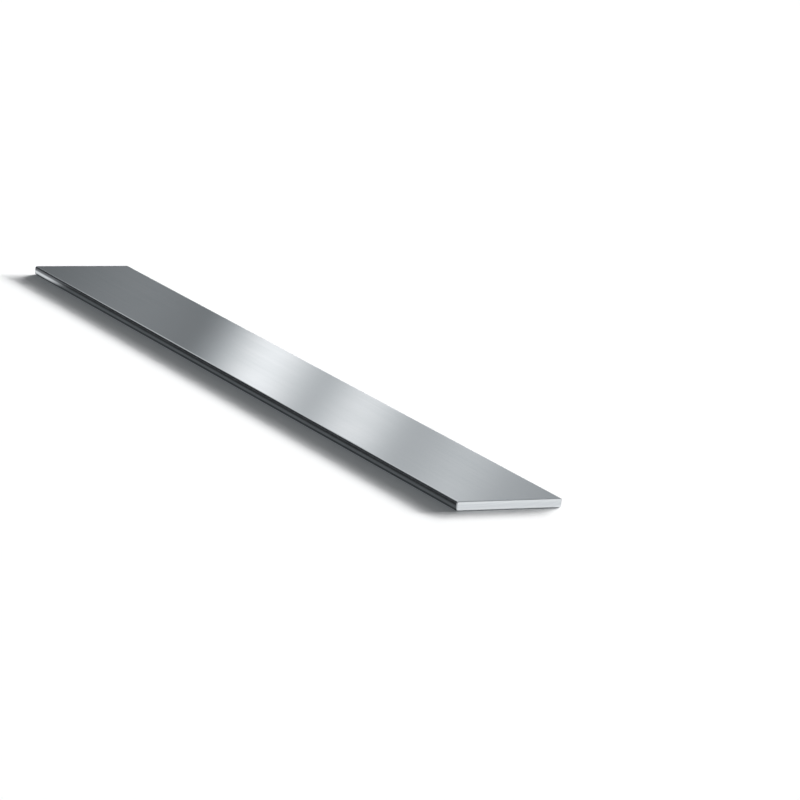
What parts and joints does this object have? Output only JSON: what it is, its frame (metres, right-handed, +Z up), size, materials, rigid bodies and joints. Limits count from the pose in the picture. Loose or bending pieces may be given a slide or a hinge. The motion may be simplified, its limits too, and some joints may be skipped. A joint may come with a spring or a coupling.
{
  "type": "steel flat bar",
  "caption": "Straight bright steel flat bar, a cut length of raw stock with eased narrow edges, rounded long corners and square deburred ends.",
  "frame": {"origin": "centre of the wide underside that the bar lies on", "axes": "+X along the length of the bar, +Y across its width, +Z up through its thickness"},
  "size_m": [0.5, 0.06, 0.005],
  "materials": {
    "bright_steel": "bright drawn, satin, with fine lines along the length"
  },
  "bodies": {
    "root": {"flat_bar": "bright_steel"}
  },
  "joints": []
}
